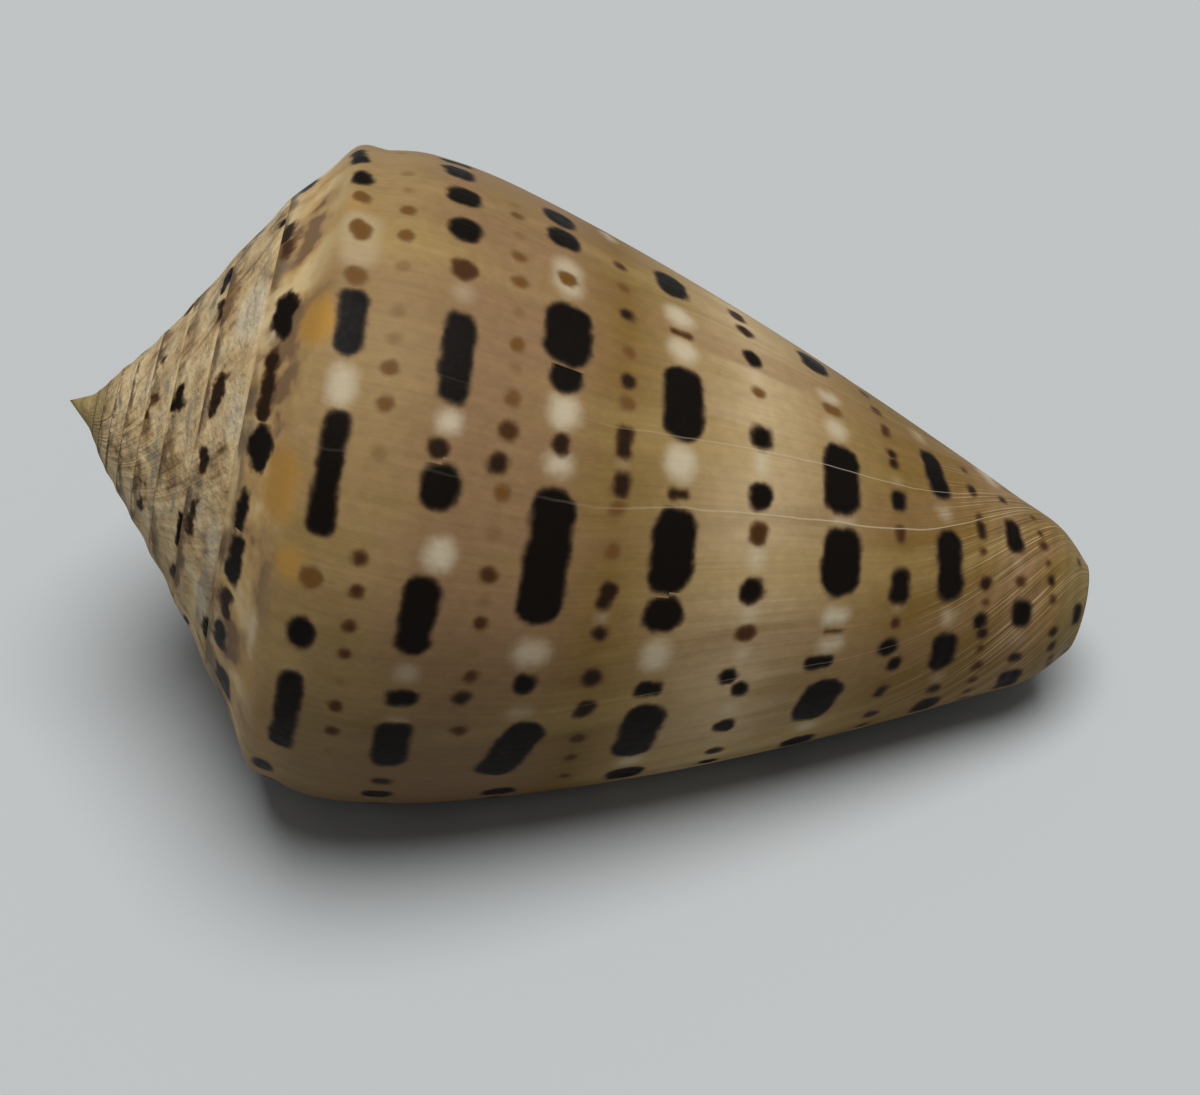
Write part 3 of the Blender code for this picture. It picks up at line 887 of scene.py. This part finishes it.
def camera():
    data = bpy.data.cameras.new("photo_camera")
    data.lens = CAMERA_LENS
    data.sensor_width = CAMERA_SENSOR
    data.clip_start = CAMERA_CLIP
    obj = bpy.data.objects.new("photo_camera", data)
    azimuth, elevation = math.radians(CAMERA_AZIMUTH), math.radians(CAMERA_ELEVATION)
    level = math.cos(elevation)
    back = Vector((math.sin(azimuth) * level, -math.cos(azimuth) * level, math.sin(elevation)))
    obj.location = (Vector(CAMERA_AIM) + back * CAMERA_DISTANCE) * MM
    roll = Matrix.Rotation(math.radians(CAMERA_ROLL), 3, "Z")
    obj.rotation_euler = (back.to_track_quat("Z", "Y").to_matrix() @ roll).to_euler()
    bpy.context.scene.collection.objects.link(obj)
    bpy.context.scene.camera = obj


class Shader:
    """A material under construction, with short ways to add nodes. Values are sockets or numbers."""

    def __init__(self, name):
        self.material = bpy.data.materials.new(name)
        self.material.use_nodes = True
        self.nodes = self.material.node_tree.nodes
        self.surface = self.nodes["Principled BSDF"]

    def feed(self, socket, value):
        if isinstance(value, bpy.types.NodeSocket):
            self.material.node_tree.links.new(value, socket)
        else:
            socket.default_value = value

    def calc(self, operation, *values):
        node = self.nodes.new("ShaderNodeMath")
        node.operation = operation
        for socket, value in zip(node.inputs, values):
            self.feed(socket, value)
        return node.outputs[0]

    def add(self, first, second):
        return self.calc("ADD", first, second)

    def subtract(self, first, second):
        return self.calc("SUBTRACT", first, second)

    def multiply(self, first, second):
        return self.calc("MULTIPLY", first, second)

    def attribute(self, name):
        node = self.nodes.new("ShaderNodeAttribute")
        node.attribute_name = name
        return node.outputs["Vector"]

    def split(self, vector):
        node = self.nodes.new("ShaderNodeSeparateXYZ")
        self.feed(node.inputs[0], vector)
        return node.outputs[0], node.outputs[1], node.outputs[2]

    def join(self, *values):
        node = self.nodes.new("ShaderNodeCombineXYZ")
        for socket, value in zip(node.inputs, values):
            self.feed(socket, value)
        return node.outputs[0]

    def millimetres(self):
        place = self.nodes.new("ShaderNodeTexCoord")
        node = self.nodes.new("ShaderNodeVectorMath")
        node.operation = "SCALE"
        self.feed(node.inputs[0], place.outputs["Object"])
        node.inputs["Scale"].default_value = 1 / MM
        return node.outputs[0]

    def noise(self, vector, scale, detail):
        """Smooth noise from about 0.3 to 0.7, with this many waves in one unit of the vector."""
        node = self.nodes.new("ShaderNodeTexNoise")
        self.feed(node.inputs["Vector"], vector)
        node.inputs["Scale"].default_value = scale
        node.inputs["Detail"].default_value = detail
        return node.outputs["Fac"]

    def rise(self, value, start, end, low=0.0, high=1.0):
        """A smooth step from low, where value is at start, to high, where it is at end."""
        node = self.nodes.new("ShaderNodeMapRange")
        node.interpolation_type = "SMOOTHSTEP"
        for socket, setting in zip(node.inputs, (value, start, end, low, high)):
            self.feed(socket, setting)
        return node.outputs[0]

    def mix(self, share, first, second):
        node = self.nodes.new("ShaderNodeMix")
        node.data_type = "RGBA"
        for name, value in (("Factor_Float", share), ("A_Color", first), ("B_Color", second)):
            socket = next(s for s in node.inputs if s.identifier == name)
            self.feed(socket, value)
        return next(s for s in node.outputs if s.identifier == "Result_Color")

    def shade(self, colour, amount):
        """The colour, made brighter or darker by an amount around 1."""
        node = self.nodes.new("ShaderNodeVectorMath")
        node.operation = "SCALE"
        self.feed(node.inputs[0], colour)
        self.feed(node.inputs["Scale"], amount)
        return node.outputs[0]

    def stops(self, value, stops):
        """A colour ramp from pairs of a place from 0 to 1 and a colour."""
        node = self.nodes.new("ShaderNodeValToRGB")
        ramp = node.color_ramp.elements
        ramp[0].position, ramp[1].position = stops[0][0], stops[-1][0]
        for stop in stops[1:-1]:
            ramp.new(stop[0])
        for element, stop in zip(ramp, stops):
            element.color = stop[1]
        self.feed(node.inputs[0], value)
        return node.outputs[0]

    def wobble(self, noise, rag):
        """How far the noise is from its middle, times a rag in mm."""
        return self.multiply(self.subtract(noise, NOISE_MIDDLE), rag)

    def bump(self, height, distance, normal=None):
        node = self.nodes.new("ShaderNodeBump")
        node.inputs["Strength"].default_value = 1.0
        node.inputs["Distance"].default_value = distance * MM
        self.feed(node.inputs["Height"], height)
        if normal is not None:
            self.feed(node.inputs["Normal"], normal)
        return node.outputs[0]


def into_outline(shader, name, wobble):
    """Signed distance in mm from a rounded mark's outline, negative inside it, and the mark's tone."""
    across, down, tone = shader.split(shader.attribute(name + "_place"))
    half_length, half_width, corner = shader.split(shader.attribute(name + "_size"))
    squares = []
    for offset, half in ((across, half_length), (down, half_width)):
        beyond = shader.subtract(shader.calc("ABSOLUTE", offset), shader.subtract(half, corner))
        squares.append(shader.calc("POWER", shader.calc("MAXIMUM", beyond, 0.0), 2.0))
    length = shader.calc("SQRT", shader.add(*squares))
    return shader.add(shader.subtract(length, corner), wobble), tone


def soft_patches(shader, fields, name, rag, edge):
    """How much of a soft patch's colour shows, from 0 to the patch's own strength."""
    out, strength = into_outline(shader, name, shader.wobble(fields.speck, rag))
    return shader.multiply(shader.rise(out, *edge), strength)


def growth_coordinate(shader, turn, place):
    """Distance across the growth lines, in mm. The lines bend back to the front end."""
    front = shader.calc("MAXIMUM", shader.subtract(place, BEND_START), 0.0)
    tip = shader.calc("MAXIMUM", shader.subtract(place, TIP_BEND_START), 0.0)
    bend = shader.multiply(front, BEND)
    bend = shader.add(bend, shader.multiply(shader.calc("POWER", tip, 3.0), TIP_BEND))
    return shader.multiply(shader.add(turn, bend), DEGREE_OF_TURN)


def shell_fields(shader):
    """The values that the shell's paint and relief depend on."""
    everywhere = shader.millimetres()
    turn, place, inside = shader.split(shader.attribute("shell_place"))
    growth = growth_coordinate(shader, turn, place)
    growth_line = shader.join(growth, shader.multiply(place, STREAK_STRETCH), 0.0)
    on_ramp = shader.rise(place, *RAMP_EDGE)
    return Fields(
        everywhere=everywhere,
        turn=turn,
        place=place,
        inside=inside,
        row=shader.split(shader.attribute("row_number"))[0],
        growth=growth,
        growth_line=growth_line,
        slanted=shader.join(shader.add(shader.multiply(turn, SPIRE_SLANT), place), 0.0, 0.0),
        fine_streak=shader.noise(growth_line, *FINE_STREAKS),
        blotch=shader.noise(everywhere, *BLOTCHES),
        speck=shader.noise(everywhere, *SPECKS),
        on_ramp=on_ramp,
        on_spire=shader.multiply(on_ramp, shader.rise(turn, *SPIRE_EDGE_TURNS)),
    )


def side_ground(shader, fields):
    """The ground of the side: a band for each row, ochre streaks, and pink and yellow zones."""
    last = len(ROW_GROUNDS) - 1.0
    bands = [(number / last, colour) for number, colour in enumerate(ROW_GROUNDS)]
    ground = shader.stops(shader.calc("DIVIDE", fields.row, last), bands)
    streak = shader.noise(fields.growth_line, *STREAKS)
    ochre = shader.add(shader.multiply(streak, 0.5), shader.multiply(fields.blotch, 0.5))
    ground = shader.mix(shader.rise(ochre, *OCHRE_NOISE, 0.0, OCHRE_SHARE), ground, OCHRE_BLOTCH)
    across, along = ZONE_STRETCH
    stretched = shader.join(shader.multiply(fields.growth, across), shader.multiply(fields.place, along), 0.0)
    zone = shader.noise(stretched, *ZONES)
    ground = shader.mix(shader.rise(zone, *PINK_NOISE, 0.0, ZONE_SHARE), ground, PINK)
    ground = shader.mix(shader.rise(zone, *GLOW_NOISE, 0.0, ZONE_SHARE), ground, GLOW)
    # Painted shade: the ground is darker on the lower side near the lip, partly a darker ground there.
    ground = shader.shade(ground, painted_lower_shade(shader, fields))
    ground = shader.shade(ground, shader.rise(fields.fine_streak, *SHADE_NOISE, *STREAK_SHADES))
    return shader.shade(ground, shader.rise(fields.speck, *SHADE_NOISE, *SPECK_SHADES))


def painted_lower_shade(shader, fields):
    """Painted shade, partly a darker ground: the ground's brightness, lower on the broad part of the side
    near the lip.
    """
    on_side = shader.multiply(shader.rise(fields.place, *PAINTED_SHADE_FRONT), shader.rise(fields.place, *PAINTED_SHADE_TOP))
    shade_share = shader.multiply(shader.rise(fields.turn, *PAINTED_SHADE_TURNS), on_side)
    return shader.rise(shade_share, 0.0, 1.0, 1.0, LOWER_SIDE_PAINTED_SHADE)


def slope_and_spire(shader, fields, ground):
    """Clouds and orange patches on the slope above the shoulder, and the worn spire above them."""
    clouds = shader.stops(shader.noise(fields.everywhere, *CLOUDS), SLOPE_STOPS)
    ground = shader.mix(shader.rise(fields.place, *SLOPE_EDGE, 0.0, SLOPE_SHARE), ground, clouds)
    orange = soft_patches(shader, fields, "orange", ORANGE_RAG, ORANGE_EDGE)
    ground = shader.mix(orange, ground, ORANGE_GROUND)
    rags = shader.multiply(shader.noise(fields.everywhere, *WORN_RAGS), WORN_RAG)
    worn = shader.rise(shader.add(fields.place, rags), *WORN_EDGE, 0.0, WORN_SHARE)
    worn = shader.calc("MAXIMUM", fields.on_spire, worn)
    return shader.mix(worn, ground, spire_ground(shader, fields))


def spire_ground(shader, fields):
    """The worn spire: mottled tan and grey, darker along the suture, olive at the apex."""
    threads = shader.multiply(shader.noise(fields.slanted, *SPIRE_THREADS), SPIRE_THREAD_SHARE)
    mottle = shader.noise(fields.everywhere, *SPIRE_MOTTLE)
    mottle = shader.multiply(mottle, 1 - SPIRE_THREAD_SHARE)
    colour = shader.stops(shader.add(mottle, threads), SPIRE_STOPS)
    along_whorl = shader.join(shader.multiply(fields.turn, WHORL_STRETCH), fields.place, 0.0)
    whorl = shader.noise(along_whorl, *WHORLS)
    colour = shader.mix(shader.rise(whorl, *GREY_NOISE), colour, SPIRE_GREY)
    suture = shader.rise(fields.place, *SUTURE_EDGE, 0.0, SUTURE_SHARE)
    colour = shader.mix(shader.multiply(suture, shader.rise(whorl, *SUTURE_NOISE)), colour, SUTURE)
    return shader.mix(shader.rise(fields.turn, *APEX_TURNS), colour, APEX_COLOUR)


def front_tip(shader, fields, ground):
    """The olive tip, with crowded dark and pale growth lines before it."""
    rags = shader.multiply(fields.speck, TIP_RAG)
    tip = shader.rise(shader.add(fields.place, rags), *TIP_EDGE)
    ground = shader.mix(shader.multiply(tip, TIP_SHARE), ground, TIP_COLOUR)
    near_tip = shader.rise(fields.place, *TIP_LINES_EDGE)
    dark = shader.multiply(shader.rise(fields.fine_streak, *DARK_LINE_NOISE, 0.0, TIP_SHARE), near_tip)
    pale = shader.multiply(shader.rise(fields.fine_streak, *PALE_LINE_NOISE, 0.0, TIP_SHARE), near_tip)
    return shader.mix(pale, shader.mix(dark, ground, TIP_LINE), PALE)


def dark_marks(shader, fields, ground):
    """Near-black to orange marks with a thin brown fringe, more ragged on the spire."""
    wobble = shader.wobble(shader.noise(fields.everywhere, *MARK_RAGS), MARK_RAG)
    wobble = shader.multiply(wobble, shader.rise(fields.on_ramp, 0.0, 1.0, 1.0, RAMP_RAG))
    rags = shader.wobble(shader.noise(fields.everywhere, *SPIRE_RAGS), SPIRE_RAG)
    rags = shader.multiply(rags, fields.on_spire)
    out, tone = into_outline(shader, "mark", shader.add(wobble, rags))
    faintness = shader.rise(tone, ORANGE, FAINT, 1.0, FAINT_SHARE)
    fringe = shader.multiply(shader.rise(out, *FRINGE_EDGE), faintness)
    core = shader.multiply(shader.rise(out, *CORE_EDGE), faintness)
    colours = shader.mix(fringe, ground, shader.stops(tone, FRINGE_STOPS))
    return shader.mix(core, colours, shader.stops(tone, MARK_STOPS))


def pale_and_glint_lines(shader, fields):
    """Thin pale lines from 0 to 1, partly pale growth lines, where the shell once stopped growing, and partly
    painted highlight, glints along them.
    """
    total = 0.0
    waver = shader.wobble(shader.noise(fields.everywhere, *LINE_WAVER), WAVER_RAG)
    line = shader.add(fields.growth, waver)
    for turn, half_width, strength in PALE_AND_GLINT_LINES:
        away = shader.calc("ABSOLUTE", shader.subtract(line, turn * DEGREE_OF_TURN))
        total = shader.calc("MAXIMUM", total, shader.rise(away, half_width, 0.0, 0.0, strength))
    return shader.multiply(total, shader.rise(fields.place, *PALE_AND_GLINT_LINES_EDGE, PALE_AND_GLINT_LINES_BEHIND, 1.0))


def with_lining(shader, fields, colours):
    """The cream lining, where the surface faces the inside of the shell."""
    lining = shader.mix(shader.rise(fields.blotch, *LINING_NOISE), LINING, LINING_SHADE)
    return shader.mix(shader.rise(fields.inside, *LINING_EDGE), colours, lining)


def painted_shell():
    """The shell's material: ground with painted shade, patches with a painted highlight, dark marks, growth
    lines partly painted as highlights, lining and fine relief.
    """
    shader = Shader("painted_shell")
    fields = shell_fields(shader)
    ground = slope_and_spire(shader, fields, side_ground(shader, fields))
    white = soft_patches(shader, fields, "patch", PATCH_RAG, PATCH_EDGE)
    ground = front_tip(shader, fields, shader.mix(white, ground, WHITE_GROUND))
    colours = dark_marks(shader, fields, ground)
    # Pale growth lines, partly painted highlight: glints along the growth lines.
    colours = shader.mix(pale_and_glint_lines(shader, fields), colours, WHITE_GROUND)
    shader.feed(shader.surface.inputs["Base Color"], with_lining(shader, fields, colours))
    rough = shader.rise(fields.speck, *ROUGH_NOISE, *ROUGHNESS)
    rough = shader.add(rough, shader.multiply(fields.on_spire, SPIRE_ROUGHNESS))
    shader.feed(shader.surface.inputs["Roughness"], rough)
    shader.surface.inputs["Specular IOR Level"].default_value = SPECULAR
    shader.feed(shader.surface.inputs["Normal"], relief(shader, fields))
    return shader.material


def relief(shader, fields):
    """Fine growth threads all over, stronger on the spire, and low spiral cords near the front."""
    normal = shader.bump(shader.noise(fields.growth_line, *RELIEF_THREADS), THREAD_HEIGHT)
    worn = shader.multiply(shader.noise(fields.slanted, *RELIEF_WORN), fields.on_spire)
    normal = shader.bump(worn, WORN_HEIGHT, normal)
    cords = shader.calc("SINE", shader.multiply(fields.place, 2 * math.pi / FRONT_CORD_STEP))
    cords = shader.multiply(cords, shader.rise(fields.place, *CORDS_EDGE))
    normal = shader.bump(cords, CORD_HEIGHT, normal)
    lumps = shader.multiply(shader.noise(fields.everywhere, *RELIEF_LUMPS), fields.on_spire)
    normal = shader.bump(lumps, LUMP_HEIGHT, normal)
    return shader.bump(shader.noise(fields.everywhere, *RELIEF_GRAIN), GRAIN_HEIGHT, normal)


def plain_material(name, colour, roughness):
    material = bpy.data.materials.new(name)
    material.use_nodes = True
    surface = material.node_tree.nodes["Principled BSDF"]
    surface.inputs["Base Color"].default_value = colour
    surface.inputs["Roughness"].default_value = roughness
    return material


def floor():
    bpy.ops.mesh.primitive_plane_add(size=PAPER_SIZE)
    obj = bpy.context.object
    obj.name = "paper"
    obj.data.materials.append(plain_material("pale_paper", PAPER_COLOUR, PAPER_ROUGHNESS))


def area_light(name, place, aim, size, watts, colour):
    data = bpy.data.lights.new(name, "AREA")
    data.shape = "DISK"
    data.size = size
    data.energy = watts
    data.color = colour
    obj = bpy.data.objects.new(name, data)
    obj.location = place
    obj.rotation_euler = (Vector(aim) - Vector(place)).to_track_quat("-Z", "Y").to_euler()
    bpy.context.scene.collection.objects.link(obj)


def lights():
    world = bpy.data.worlds.new("studio")
    world.use_nodes = True
    surround = world.node_tree.nodes["Background"]
    surround.inputs["Color"].default_value = SURROUND_COLOUR
    surround.inputs["Strength"].default_value = SURROUND_STRENGTH
    bpy.context.scene.world = world
    area_light("window", LAMP_PLACE, LAMP_AIM, LAMP_SIZE, LAMP_WATTS, LAMP_COLOUR)


surface = shell_object(build_fine_shell())
surface.data.materials.append(painted_shell())
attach(surface, "root")
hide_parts(NODE)
floor()
lights()
camera()
bpy.context.scene.view_settings.view_transform = "Standard"
